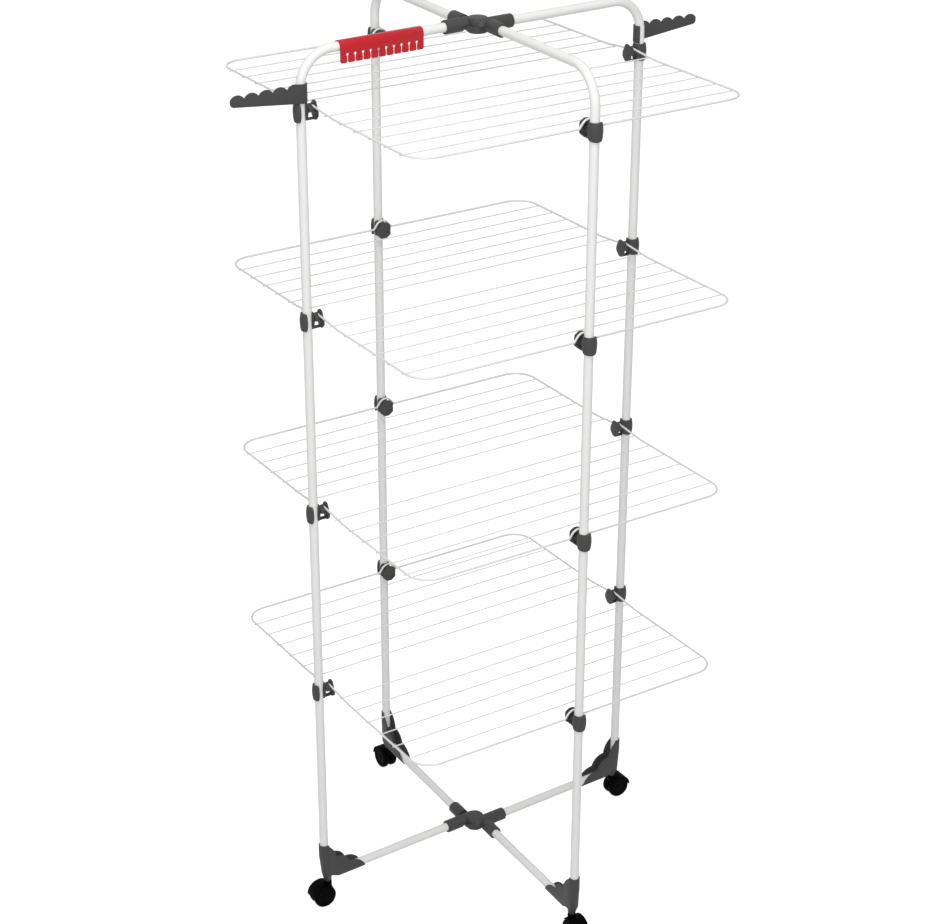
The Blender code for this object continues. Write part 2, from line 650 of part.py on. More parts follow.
def arm_mesh():
    """A hanger arm: a scalloped plate beside the post, ending in a wrap round the post's inner side."""
    near = flats(BORE_RADIUS + ARM_PLAY, TUBE_SIDES)
    outer = near + ARM_THICKNESS
    bottom = CLIP_TOP + FIT
    past = ARM_REACH + OVERRUN
    plan = [(past, near), (past, outer)]
    plan += arc(0, 0, outer, 90, WRAP_END_ANGLE, WRAP_STEPS)
    plan += arc(0, 0, near, WRAP_END_ANGLE, 90, WRAP_STEPS)
    radius = (SCALLOP_PITCH ** 2 / 4 + SCALLOP_HEIGHT ** 2) / (2 * SCALLOP_HEIGHT)
    half_angle = math.degrees(math.asin(SCALLOP_PITCH / 2 / radius))
    tip = [(0, bottom, 0), (ARM_REACH, ARM_TIP_BOTTOM, ARM_TIP_CORNER), (ARM_REACH, ARM_TOP, 0)]
    side = [(-outer - OVERRUN, bottom), (0, bottom)] + rounded(tip, 2)[1:-1]
    for k in range(SCALLOPS):
        x = ARM_REACH - SCALLOP_PITCH * (k + 1 / 2)
        crest = ARM_TOP - ARM_TIP_DROP * (SCALLOPS - 1 - k) / (SCALLOPS - 1)
        last = 90 if k == SCALLOPS - 1 else 90 + half_angle
        side += arc(x, crest - radius, radius, 90 - half_angle, last, SCALLOP_STEPS)[:-1]
    bend_start = TOP_LEVEL_DROP - BEND_RADIUS
    lean = math.tan(math.radians(90 / BEND_STEPS / 2))
    wrap_top = bend_start + ARM_PLAY / lean - TUBE_RADIUS * lean
    shoulder = ARM_TOP - ARM_SHOULDER_DROP
    side += [(x, ARM_TOP), (0, shoulder), (-near, wrap_top), (-outer - OVERRUN, wrap_top)]
    across = Matrix.Rotation(math.pi / 2, 4, "X")
    view = moved(prism(side, -outer - OVERRUN, outer + OVERRUN), across)
    past = outer + OVERRUN
    hidden_side = [(-past, -past), (past, -past), (past, 0), (-past, 0)]
    lowered = prism(hidden_side, wrap_top - FIT, ARM_TOP + 2 * OVERRUN)
    plate = prism(plan, bottom - OVERRUN, ARM_TOP + OVERRUN)
    return smooth(shaped("arm", plate, ("DIFFERENCE", lowered), ("INTERSECT", view)))


def rail_mesh():
    """The hook rail: a saddle over the top bar with a flap on -Y, cut by keyholes open below."""
    half_step = math.radians((180 - RAIL_LIP_ANGLE) / RAIL_STEPS / 2)
    inner = RAIL_BORE / math.cos(half_step)
    outer = inner + RAIL_WALL
    section = [(-inner, -RAIL_DROP)]
    section += arc(0, 0, inner, 180, RAIL_LIP_ANGLE, RAIL_STEPS)
    section += arc(0, 0, outer, RAIL_LIP_ANGLE, 180, RAIL_STEPS)
    section.append((-outer, -RAIL_DROP))
    along = Matrix.Rotation(math.pi / 2, 4, "Z") @ Matrix.Rotation(math.pi / 2, 4, "X")
    body = moved(prism(section[::-1], -RAIL_LENGTH / 2, RAIL_LENGTH / 2), along)
    slit_angle = math.degrees(math.asin(KEYHOLE_SLIT / 2 / KEYHOLE_RADIUS))
    eye = KEYHOLE_RISE - RAIL_DROP
    holes = []
    for k in range(KEYHOLES):
        x = (k - (KEYHOLES - 1) / 2) * KEYHOLE_PITCH
        shape = arc(x, eye, KEYHOLE_RADIUS, slit_angle - 90, 270 - slit_angle, KEYHOLE_STEPS)
        shape += [(x - KEYHOLE_SLIT / 2, -RAIL_DROP - OVERRUN), (x + KEYHOLE_SLIT / 2, -RAIL_DROP - OVERRUN)]
        holes.append(moved(prism(shape, inner - OVERRUN, outer + OVERRUN), Matrix.Rotation(math.pi / 2, 4, "X")))
    return smooth(shaped("rail", body, ("DIFFERENCE", joined(*holes))))


def build():
    """All pieces, in place."""
    for old in list(bpy.data.objects):
        bpy.data.objects.remove(old)

    white = finish("white_tube_coating", (0.80, 0.80, 0.80), 0.35)
    wire = finish("white_wire_coating", (0.82, 0.82, 0.82), 0.4)
    grey = finish("dark_grey_moulding", (0.075, 0.075, 0.075), 0.55)
    black = finish("black_caster_moulding", (0.012, 0.012, 0.012), 0.5)
    steel = finish("axle_steel", (0.55, 0.55, 0.55), 0.3, 1.0)
    red = finish("red_rail_moulding", (0.55, 0.014, 0.028), 0.35)

    levels = [TOP_LEVEL_HEIGHT - LEVEL_PITCH * k for k in range(LEVELS)]
    clip = clip_mesh()
    hood = hood_mesh()
    wheel = wheel_mesh()
    axle = axle_mesh()
    arm = arm_mesh()
    wing = wing_mesh()
    posts = {side: post_mesh(side) for side in (-1, 1)}
    bars = {side: base_bar_mesh(side) for side in (-1, 1)}
    feet = {side: foot_mesh(side) for side in (-1, 1)}
    upper_hub = hub_mesh("hub_upper", True)
    lower_hub = hub_mesh("hub_lower", False)

    for place, height in (("top", TOP_BAR_HEIGHT), ("base", BASE_BAR_HEIGHT)):
        piece(f"{place}_hub_upper", upper_hub, grey, None, (0, 0, height))
        piece(f"{place}_hub_lower", lower_hub, grey, None, (0, 0, height), (180, 0, 90))

    for quarter, (turn, side) in QUARTERS.items():
        axis = empty(f"{quarter}_axis", turn=turn)
        piece(f"post_{quarter}", posts[side], white, axis)
        piece(f"base_bar_{quarter}", bars[side], white, axis)
        piece(f"foot_{quarter}", feet[side], grey, axis)
        for number, height in enumerate(levels, 1):
            piece(f"clip_{quarter}_{number}", clip, grey, axis, (HOOP_REACH, 0, height))
        swivel = empty(f"swivel_{quarter}", axis, bar_frame(side) @ Vector((STEM_INSET, 0, 0)))
        piece(f"caster_hood_{quarter}", hood, black, swivel)
        hub_place = (TRAIL, 0, WHEEL_RADIUS)
        piece(f"caster_axle_{quarter}", axle, steel, swivel, hub_place)
        for letter, flip in (("a", 1), ("b", -1)):
            seat = (TRAIL, flip * (WEB_HALF + WEB_GAP), WHEEL_RADIUS)
            facing = (0, 0, 0) if flip == 1 else (0, 0, 180)
            piece(f"caster_wheel_{quarter}_{letter}", wheel, black, swivel, seat, facing)
        if side == -1:
            level = (HOOP_REACH, 0, TOP_LEVEL_HEIGHT)
            piece(f"hanger_arm_{quarter}", arm, grey, axis, level)

    for number, height in enumerate(levels, 1):
        hinge = (0, 0, height + NECK_RISE)
        piece(f"wing_back_{number}", wing, wire, None, hinge)
        piece(f"wing_front_{number}", wing, wire, None, hinge, (0, 0, 180))

    rail_axis = empty("rail_axis", turn=QUARTERS["left_front"][0])
    rail = piece("hook_rail", rail_mesh(), red, rail_axis)
    rail_middle = RAIL_START + RAIL_LENGTH / 2
    rail.matrix_local = bar_frame(-1, TOP_BAR_HEIGHT) @ Matrix.Translation((rail_middle, 0, 0))


build()
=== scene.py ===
"""Look of the tower clothes airer: tubes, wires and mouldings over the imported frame, studio and camera."""

import math

import bpy
from mathutils import Matrix, Vector


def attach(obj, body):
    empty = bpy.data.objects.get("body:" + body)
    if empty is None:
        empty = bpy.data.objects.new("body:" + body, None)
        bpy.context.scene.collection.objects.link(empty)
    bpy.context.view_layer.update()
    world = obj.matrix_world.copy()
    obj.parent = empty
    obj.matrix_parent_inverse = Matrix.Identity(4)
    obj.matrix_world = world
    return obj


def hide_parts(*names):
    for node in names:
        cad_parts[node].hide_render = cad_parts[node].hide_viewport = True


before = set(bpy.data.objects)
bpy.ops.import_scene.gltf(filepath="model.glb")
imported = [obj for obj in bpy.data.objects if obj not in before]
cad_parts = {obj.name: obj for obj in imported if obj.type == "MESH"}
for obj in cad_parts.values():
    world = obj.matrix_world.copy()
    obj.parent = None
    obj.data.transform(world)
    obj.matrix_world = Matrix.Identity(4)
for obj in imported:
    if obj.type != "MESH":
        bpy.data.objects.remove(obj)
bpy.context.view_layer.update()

# Picture and camera: the view fitted to the photograph's tube and wire edges
PICTURE_WIDTH = 940
PICTURE_HEIGHT = 924
SENSOR_WIDTH = 36.0
CAMERA_PLACE = (-2.181, -3.3621, 2.8643)
CAMERA_AZIMUTH = -32.492
CAMERA_ELEVATION = 25.476
CAMERA_FOCAL_PIXELS = 2220.5
CAMERA_CENTRE_PIXELS = (459.2, 451.0)

# Sizes shared with the frame, in metres, and the sides of round tools that cut past a surface
HOOP_REACH = 0.3725
TUBE_RADIUS = 0.009
TUBE_WALL = 0.0009
TOP_BAR_HEIGHT = 1.8215
BASE_BAR_HEIGHT = 0.068
BEND_RADIUS = 0.066
BAR_SIDE_STEP = 0.0135
SOCKET_START = 0.031
FIT = 0.0003
OVERRUN = 0.001
SIDE_CUT = 0.03
WELD_REACH = 0.00001
EASED_ANGLE = 40.0
WIDE_SIDES = 48
BORE_SIDES = 40
SMALL_SIDES = 32
POST_SEAT = 0.055
BAR_SEAT = 0.030
LEVEL_HEIGHTS = (1.7175, 1.3185, 0.9195, 0.5205)
NECK_RISE = -0.001
BAR_RUN = math.hypot(HOOP_REACH, BAR_SIDE_STEP)

# Hubs
HUB_RADIUS = 0.0192
HUB_SEAM = 0.00025
HUB_TOP = 0.0134
HUB_UNDERSIDE = 0.0150
SOCKET_RADIUS = 0.0132
SOCKET_MOUTH = 0.0655
SOCKET_ROOT = 0.028
BORE_RADIUS = 0.0093
PIVOT_RADIUS = 0.006
HUB_CROWN = ((0.0, 0.0022), (0.0006, 0.0010), (0.0018, 0.0003), (0.0034, 0.0))
SOCKET_LIP = ((0.0, 0.0007), (0.0002, 0.0002), (0.0008, 0.0))

# Clips, each a snap barrel, a neck, two hoods over the wire ends, a bridge and a head.
# A barrel ring has its radius, height, slant and the degrees by which it widens the opening.
BARREL_RINGS = (
    (0.0110, -0.0184, 0.0016, 17.0),
    (0.0121, -0.0177, 0.0015, 11.0),
    (0.0129, -0.0150, 0.0012, 5.0),
    (0.0136, -0.0100, 0.0006, 1.0),
    (0.0141, -0.0040, 0.0, 0.0),
    (0.0141, 0.0020, 0.0, 0.0),
    (0.0136, 0.0075, 0.0, 1.0),
    (0.0129, 0.0118, 0.0, 5.0),
    (0.0124, 0.0142, 0.0, 11.0),
    (0.0113, 0.0149, 0.0, 16.0),
)
BARREL_OFFSET = (0.0007, 0.0008)
BARREL_OPENING = (68.0, 118.0)
NECK_RADIUS = 0.0052
HOOD_RADII = (0.0102, 0.0119)
NEAR_HOOD = (-6.0, 98.0)
FAR_HOOD = (82.0, 200.0)
NECK_ROOT = 0.0112
BRIDGE_HALF_WIDTH = 0.0042
BRIDGE_HEIGHTS = (-0.0186, -0.0158)
LANE_SEAM = 0.01995
HEAD_PLACE = 0.0274
HEAD_THICKNESS = 0.0026
HEAD_HALF_WIDTH = 0.0148
HEAD_HALF_HEIGHT = 0.0175
HEAD_SIDE_SHIFT = 0.0028
HEAD_DROP = 0.0020
HEAD_TURN = 6.0
HEAD_CORNER = 0.0052
RECESS_PLACE = (-0.0040, -0.0080)
RECESS_RADIUS = 0.0020
RECESS_FLOOR = -0.0003
HEAD_CORNER_SHARES = (
    (1.00, 0.30),
    (1.00, -0.42),
    (0.62, -1.00),
    (-0.55, -1.00),
    (-1.00, -0.35),
    (-1.00, 0.30),
    (-0.50, 1.00),
    (-0.05, 1.00),
)

# Wings
WING_DEPTH = 0.3553
WING_LEFT = -0.355
WING_RIGHT = 0.3501
WING_CORNER = 0.045
FRAME_WIRE = 0.0021
RUNG_WIRE = 0.00125
RUNG_OVERHANG = 0.0004
WELD_SINK = 0.0004
WIRE_PITCHES = 7
HOOK_RADIUS = 0.0078
HOOK_RUN = 0.075
HOOK_END_ANGLE = 190.0
LATCH_HALF_WIDTH = 0.0205
LATCH_RISE = 0.017

# Feet: a channel with three lobes on each cheek, each lobe an arc from point to point with its rise
CHANNEL_HALF = 0.0111
FOOT_TOP = 0.0795
LOBES = (
    ((0.0, 0.0795), (0.0235, 0.0440), 0.0052),
    ((0.0235, 0.0440), (0.0550, 0.0215), 0.0066),
    ((0.0550, 0.0215), (0.0940, -0.0060), 0.0078),
)
BELLY = (
    (0.0938, -0.0095),
    (0.0900, -0.0111),
    (0.0440, -0.0108),
    (0.0360, -0.0094),
    (0.0290, -0.0066),
    (0.0210, -0.0024),
    (0.0130, 0.0016),
    (0.0, 0.0016),
)
POST_SINK = 0.041
STEM_INSET = 0.0065
SEAT_HEIGHT = 0.054
STEM_REACH = 0.024
STEM_BORE = 0.0044
FOOT_CUT = 0.097
WELL_START = 0.0002
WELL_EDGE = 0.0004
WELL_FALL = 0.004
FOOT_BOTTOM = SEAT_HEIGHT + FIT - BASE_BAR_HEIGHT
# The sleeve's rings: half width, reach of the back, inset and height
SLEEVE = (
    (0.0066, 0.0066, STEM_INSET, FOOT_BOTTOM),
    (0.0072, 0.0072, STEM_INSET, FOOT_BOTTOM + 0.0008),
    (0.0086, 0.0086, STEM_INSET, -0.0080),
    (0.0096, 0.0076, 0.0044, -0.0030),
    (CHANNEL_HALF, 0.0044, 0, 0.0030),
    (CHANNEL_HALF, CHANNEL_HALF, 0, 0.052),
    (CHANNEL_HALF, CHANNEL_HALF, 0, FOOT_TOP),
)

# Casters
WHEEL_RADIUS = 0.0244
WHEEL_WIDTH = 0.013
WHEEL_OFFSET = 0.0036
TRAIL = 0.013
HOOD_INNER = 0.0249
HOOD_OUTER = 0.02705
HOOD_HALF_WIDTH = 0.017
HOOD_ARC = (2.0, 128.0)
WEB_HALF = 0.003
WEB_EYE = 0.007
AXLE_BORE = 0.0033
STEM_RADIUS = 0.004
STEM_ROOT = 0.003
HOOD_CUT = 0.02
BOSS = ((0.0085, 0.0375), (0.0085, SEAT_HEIGHT - 0.001), (0.0076, SEAT_HEIGHT))
# Radius and distance from the web, from the axle's bore round the tread to the dished face
WHEEL_SECTION = (
    (AXLE_BORE, 0.0112), (AXLE_BORE, 0.0), (0.0205, 0.0), (0.0226, 0.0006), (0.0239, 0.0022),
    (WHEEL_RADIUS, 0.0045), (WHEEL_RADIUS, 0.0085), (0.0239, 0.0108), (0.0226, 0.0124),
    (0.0205, WHEEL_WIDTH), (0.0180, WHEEL_WIDTH), (0.0165, 0.0115), (0.0070, 0.0110),
    (0.0055, 0.0118), (0.0035, 0.0121),
)

# Hanger arms
ARM_REACH = 0.1440
ARM_NEAR = 0.0104
ARM_FAR = 0.0130
ARM_TOP = 0.053
ARM_FOOT = 0.0158
ARM_TIP_BOTTOM = 0.0308
ARM_WRAP = (0.0215, 0.0495)
ARM_WRAP_END = 236.0
SCALLOP_PITCH = 0.0281
SCALLOP_RISE = 0.0082
SCALLOPS = 5
CREST_FALL = 0.0005
ARM_TIP_CORNER = 0.007
ARM_BLANK = (0.010, 0.060)
# The side view below and above the post, ahead of the tip and after the last scallop
ARM_LOWER_EDGE = ((-0.02, ARM_WRAP[0]), (-0.0125, ARM_WRAP[0]), (-0.0105, ARM_FOOT + 0.001), (0, ARM_FOOT))
ARM_UPPER_EDGE = ((0.004, ARM_TOP - 0.0022), (-0.004, ARM_WRAP[1] + 0.0008), (-0.02, ARM_WRAP[1]))

# Hook rail
RAIL_START = 0.0785
RAIL_END = 0.2555
RAIL_INNER = 0.0094
RAIL_OUTER = 0.0110
RAIL_DROP = 0.0295
RAIL_CORNER = 0.004
KEYHOLES = 10
KEYHOLE_MARGIN = 0.0150
KEYHOLE_RADIUS = 0.0026
KEYHOLE_SLIT = 0.0020
KEYHOLE_RISE = 0.0150
TOOTH_CORNER = 0.0026
RAIL_CREST = 0.013
RAIL_CREST_CORNER = 0.0045
RAIL_SPARE = 0.004
KEYHOLE_CUT = (0.004, 0.02)

# Stage and lamps: each lamp with its place, size and watts
FLOOR_TONE = "#D6D6D6"
FLOOR_LIFT = 0.76
SURROUND_LIGHT = 0.42
LAMPS = (
    ("overhead_softbox", (-1.0, -1.6, 4.6), 2.0, 60.0),
    ("camera_softbox", (-2.6, -3.6, 3.0), 1.6, 80.0),
)
LAMP_AIM = Vector((0, 0, 0.9))

# Each quarter's turn, the side its bar steps to and its hoop
QUARTERS = {
    "right_back": (0.0, -1, "hoop_one"),
    "left_back": (90.0, 1, "hoop_two"),
    "left_front": (180.0, -1, "hoop_one"),
    "right_front": (270.0, 1, "hoop_two"),
}


def node(tree, kind, settings=None, inputs=None):
    """Add a shader node with its settings; an input is a value, or an output socket to link."""
    made = tree.nodes.new("ShaderNode" + kind)
    for name, value in (settings or {}).items():
        setattr(made, name, value)
    for name, value in (inputs or {}).items():
        if isinstance(value, bpy.types.NodeSocket):
            tree.links.new(value, made.inputs[name])
        else:
            made.inputs[name].default_value = value
    return made


def linear(hex_colour):
    """A hex sRGB colour as linear red, green, blue and full alpha."""
    parts = [int(hex_colour[k:k + 2], 16) / 255 for k in (1, 3, 5)]
    return (*[c / 12.92 if c <= 0.04045 else ((c + 0.055) / 1.055) ** 2.4 for c in parts], 1.0)


def per_metre(millimetres):
    """Pattern scale whose features are that many millimetres apart."""
    return 1000 / millimetres


def finish(
    name, light, dark, roughness, spread,
    patch_mm, grain_mm, grain_depth,
    metallic=0.0, ior=1.5, specular=0.5,
):
    """A moulded, coated or drawn finish: two close tones in soft patches and a fine surface grain.

    The grain is drawn coarser than the real one, so that it shows. Its depth is in millimetres.
    """
    material = bpy.data.materials.new(name)
    material.use_nodes = True
    tree = material.node_tree
    shader = tree.nodes["Principled BSDF"]
    shader.inputs["Metallic"].default_value = metallic
    if metallic == 0:
        shader.inputs["IOR"].default_value = ior
        shader.inputs["Specular IOR Level"].default_value = specular
    place = node(tree, "TexCoord").outputs["Object"]
    patches = node(tree, "TexNoise", None, {"Vector": place, "Scale": per_metre(patch_mm), "Detail": 3.0})
    tone = node(tree, "Mix", {"data_type": "RGBA"}, {"Factor": patches.outputs["Fac"]})
    tone.inputs[6].default_value = linear(dark)
    tone.inputs[7].default_value = linear(light)
    tree.links.new(tone.outputs[2], shader.inputs["Base Color"])
    gloss = node(tree, "MapRange", None, {
        "Value": patches.outputs["Fac"],
        "To Min": roughness - spread,
        "To Max": roughness + spread,
    })
    tree.links.new(gloss.outputs["Result"], shader.inputs["Roughness"])
    grain = node(tree, "TexNoise", None, {"Vector": place, "Scale": per_metre(grain_mm), "Detail": 2.0})
    relief = node(tree, "Bump", None, {
        "Height": grain.outputs["Fac"],
        "Distance": grain_depth / 1000,
        "Strength": 1.0,
    })
    tree.links.new(relief.outputs["Normal"], shader.inputs["Normal"])
    return material


# Thermoset powder coat on steel tube: satin white with a faint orange peel
POWDER_COAT = finish(
    "satin_white_powder_coat", "#EBEBEA", "#E3E3E2", 0.32, 0.05, 60.0, 1.2, 0.02, specular=0.4)
# Polyamide dip on steel wire: a softer, thicker white skin
WIRE_DIP = finish(
    "white_nylon_dip_coat", "#E4E4E3", "#DADAD9", 0.42, 0.05, 30.0, 0.9, 0.02, specular=0.3)
# Moulded polypropylene with a fine spark-eroded grain: dark grey, half matt
GREY_MOULDING = finish(
    "dark_grey_polypropylene", "#434343", "#3D3D3D", 0.56, 0.06, 14.0, 0.7, 0.03, specular=0.25)
# Moulded nylon casters: deep black, nearly without shine
BLACK_MOULDING = finish(
    "black_nylon_moulding", "#020202", "#000000", 0.60, 0.06, 12.0, 0.8, 0.03, specular=0.03)
# Drawn mild steel pin: bright grey metal
STEEL = finish(
    "drawn_steel_pin", "#A8A8A6", "#8C8C8A", 0.32, 0.08, 4.0, 0.3, 0.005, metallic=1.0)
# Moulded ABS, polished tool: clear glossy red
RED_MOULDING = finish(
    "glossy_red_abs", "#BC101E", "#B80F1C", 0.28, 0.04, 20.0, 1.5, 0.01, ior=1.54, specular=0.3)


def ring(radius, height, sides, turn=0.0):
    """Points of a level circle; turn shifts them by that share of a side."""
    angles = [2 * math.pi * (k + turn) / sides for k in range(sides)]
    return [Vector((radius * math.cos(a), radius * math.sin(a), height)) for a in angles]


def arc(centre_x, centre_y, radius, start, end, steps):
    """Points along an arc drawn in a plane, from start to end in degrees."""
    angles = [math.radians(start + (end - start) * k / steps) for k in range(steps + 1)]
    return [(centre_x + radius * math.cos(a), centre_y + radius * math.sin(a)) for a in angles]


def skin(loops, closed=False):
    """A closed surface over loops of equal count: capped at both ends, or joined last to first."""
    count = len(loops[0])
    points = [point for loop in loops for point in loop]
    faces = []
    spans = len(loops) if closed else len(loops) - 1
    for row in range(spans):
        low = row * count
        high = (row + 1) % len(loops) * count
        for k in range(count):
            after = (k + 1) % count
            faces.append((low + k, low + after, high + after, high + k))
    if not closed:
        faces.append(tuple(reversed(range(count))))
        faces.append(tuple(range(len(points) - count, len(points))))
    return points, faces


def joined(*solids):
    """Separate solids kept in one set of points and faces."""
    points = []
    faces = []
    for solid_points, solid_faces in solids:
        start = len(points)
        points += solid_points
        faces += [tuple(start + k for k in face) for face in solid_faces]
    return points, faces


def moved(solid, matrix):
    """A solid carried by a matrix."""
    points, faces = solid
    return [matrix @ Vector(point) for point in points], faces


def carried(path, radius, sides, across):
    """Rings of a round section carried along a path, square at its ends and mitred at its corners."""
    points = [Vector(point) for point in path]
    directions = [(b - a).normalized() for a, b in zip(points, points[1:])]
    side = Vector(across)
    rings = []
    for k, point in enumerate(points):
        arriving = directions[max(k - 1, 0)]
        leaving = directions[min(k, len(directions) - 1)]
        if k > 1:
            side = directions[k - 2].rotation_difference(arriving) @ side
        other = arriving.cross(side)
        mitre = (arriving + leaving).normalized()
        loop = []
        for flat in ring(radius, 0, sides, 1 / 2):
            offset = side * flat.x + other * flat.y
            slide = offset.dot(mitre) / arriving.dot(mitre)
            loop.append(point + offset - arriving * slide)
        rings.append(loop)
    return rings


def rod(path, radius, sides, across):
    """A solid round wire along a path."""
    return skin(carried(path, radius, sides, across))


def tube(path, radius, wall, sides, across):
    """A hollow round tube along a path, open at both ends."""
    outside = carried(path, radius, sides, across)
    inside = carried(path, radius - wall, sides, across)
    return skin(outside + inside[::-1], closed=True)


def smooth_mesh(name, solid, material, angle=35.0):
    """A smooth-shaded mesh with its material."""
    mesh = bpy.data.meshes.new(name)
    mesh.from_pydata([tuple(point) for point in solid[0]], [], solid[1])
    mesh.shade_smooth()
    mesh.set_sharp_from_angle(angle=math.radians(angle))
    mesh.materials.append(material)
    return mesh


def stand_for(cad_node, mesh, matrix, body):
    """A dressed piece in the place of one CAD node."""
    piece = bpy.data.objects.new("dressed_" + cad_node, mesh)
    bpy.context.collection.objects.link(piece)
    piece.matrix_world = matrix
    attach(piece, body)
    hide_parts(cad_node)
    return piece


def turned(angle, x=0.0, y=0.0, z=0.0):
    """A turn about Z in degrees, of what is first moved by x, y, z."""
    return Matrix.Rotation(math.radians(angle), 4, "Z") @ Matrix.Translation((x, y, z))


def bar_frame(side, height=0.0):
    """Frame of a bar in its quarter: at the post, X running inward along the bar."""
    turn = math.atan2(side * BAR_SIDE_STEP, -HOOP_REACH)
    return Matrix.Translation((HOOP_REACH, 0, height)) @ Matrix.Rotation(turn, 4, "Z")


def post(side):
    """A post, its bend and its half of the top bar."""
    bend = arc(BEND_RADIUS, TOP_BAR_HEIGHT - BEND_RADIUS, BEND_RADIUS, 180, 90, 20)
    path = [(0, 0, BASE_BAR_HEIGHT + POST_SINK + FIT)]
    path += [(x, 0, z) for x, z in bend]
    path.append((BAR_RUN - SOCKET_START - FIT, 0, TOP_BAR_HEIGHT))
    return moved(tube(path, TUBE_RADIUS, TUBE_WALL, 32, (0, 1, 0)), bar_frame(side))


def base_bar(side):
    """A straight base bar."""
    path = [(BAR_SEAT + FIT, 0, 0), (BAR_RUN - SOCKET_START - FIT, 0, 0)]
    return moved(tube(path, TUBE_RADIUS, TUBE_WALL, 32, (0, 1, 0)), bar_frame(side, BASE_BAR_HEIGHT))


def wing():
    """A wire wing: a bent frame wire with hooked ends and a latch hump, over thinner rungs."""
    drop = -NECK_RISE
    tangent = math.degrees(
        math.acos(HOOK_RADIUS / math.hypot(HOOK_RUN, NECK_RISE)) - math.atan2(NECK_RISE, HOOK_RUN))
    hook = arc(0, 0, HOOK_RADIUS, HOOK_END_ANGLE, tangent, 14)
    path = [(WING_LEFT, y, z) for y, z in hook]
    path.append((WING_LEFT, HOOK_RUN, drop))
    far = WING_DEPTH
    bend = WING_CORNER
    path += [(x, y, drop) for x, y in arc(WING_LEFT + bend, far - bend, bend, 180, 90, 12)]
    crest = math.degrees(math.acos(
        LATCH_RISE / math.hypot(LATCH_HALF_WIDTH, NECK_RISE)) - math.atan2(NECK_RISE, LATCH_HALF_WIDTH))
    path.append((-LATCH_HALF_WIDTH, far, drop))
    path += [(x, far, z) for x, z in arc(0, 0, LATCH_RISE, 180 - crest, crest, 12)]
    path.append((LATCH_HALF_WIDTH, far, drop))
    path += [(x, y, drop) for x, y in arc(WING_RIGHT - bend, far - bend, bend, 90, 0, 12)]
    path.append((WING_RIGHT, HOOK_RUN, drop))
    path += [(WING_RIGHT, y, z) for y, z in hook[::-1]]
    parts = [rod(path, FRAME_WIRE, 14, (1, 0, 0))]
    slope = 1 / math.tan(math.radians(tangent))
    for k in range(1, WIRE_PITCHES):
        y = k * WING_DEPTH / WIRE_PITCHES
        rung_height = drop + max(HOOK_RUN - y, 0) * slope - FRAME_WIRE - RUNG_WIRE + WELD_SINK
        start = WING_LEFT - FRAME_WIRE - RUNG_OVERHANG
        end = WING_RIGHT + FRAME_WIRE + RUNG_OVERHANG
        parts.append(rod([(start, y, rung_height), (end, y, rung_height)], RUNG_WIRE, 12, (0, 1, 0)))
    return joined(*parts)


def dress_tubes():
    """Round tubes in place of the faceted ones."""
    for side in (-1, 1):
        tall = smooth_mesh(f"post_tube_{side}", post(side), POWDER_COAT)
        low = smooth_mesh(f"base_tube_{side}", base_bar(side), POWDER_COAT)
        for quarter, (turn, quarter_side, body) in QUARTERS.items():
            if quarter_side != side:
                continue
            stand_for(f"post_{quarter}", tall, turned(turn), body)
            stand_for(f"base_bar_{quarter}", low, turned(turn), body)


def dress_wings():
    """Round wires in place of the faceted ones."""
    mesh = smooth_mesh("wire_wing", wing(), WIRE_DIP)
    for number, height in enumerate(LEVEL_HEIGHTS, 1):
        for name, turn in (("back", 0), ("front", 180)):
            place = turned(turn, z=height + NECK_RISE)
            stand_for(f"wing_{name}_{number}", mesh, place, f"wing_{name}_{number}")


def rounded(corners, steps):
    """An outline whose corners, each (x, y, radius), are turned into arcs."""
    outline = []
    for k, (x, y, radius) in enumerate(corners):
        here = Vector((x, y))
        back = (Vector(corners[k - 1][:2]) - here).normalized()
        ahead = (Vector(corners[(k + 1) % len(corners)][:2]) - here).normalized()
        if radius == 0:
            outline.append((x, y))
            continue
        half = back.angle(ahead) / 2
        centre = here + (back + ahead).normalized() * (radius / math.sin(half))
        start = here + back * (radius / math.tan(half)) - centre
        end = here + ahead * (radius / math.tan(half)) - centre
        turn = math.copysign(math.pi - 2 * half, start.x * end.y - start.y * end.x)
        for step in range(steps + 1):
            point = centre + Matrix.Rotation(turn * step / steps, 2) @ start
            outline.append((point.x, point.y))
    return outline


def lobe(start, end, rise, steps):
    """Points of an arc that bulges to the left of the way from start to end."""
    chord = Vector(end) - Vector(start)
    half = chord.length / 2
    radius = (half * half + rise * rise) / (2 * rise)
    side = Vector((-chord.y, chord.x)).normalized()
    centre = (Vector(start) + Vector(end)) / 2 - side * (radius - rise)
    spread = math.asin(half / radius)
    middle = math.atan2(side.y, side.x)
    return [
        (centre.x + radius * math.cos(a), centre.y + radius * math.sin(a))
        for a in (middle + spread - 2 * spread * k / steps for k in range(steps + 1))
    ]


def prism(outline, low, high):
    """An outline raised from one height to another."""
    return skin([[Vector((x, y, level)) for x, y in outline] for level in (low, high)])


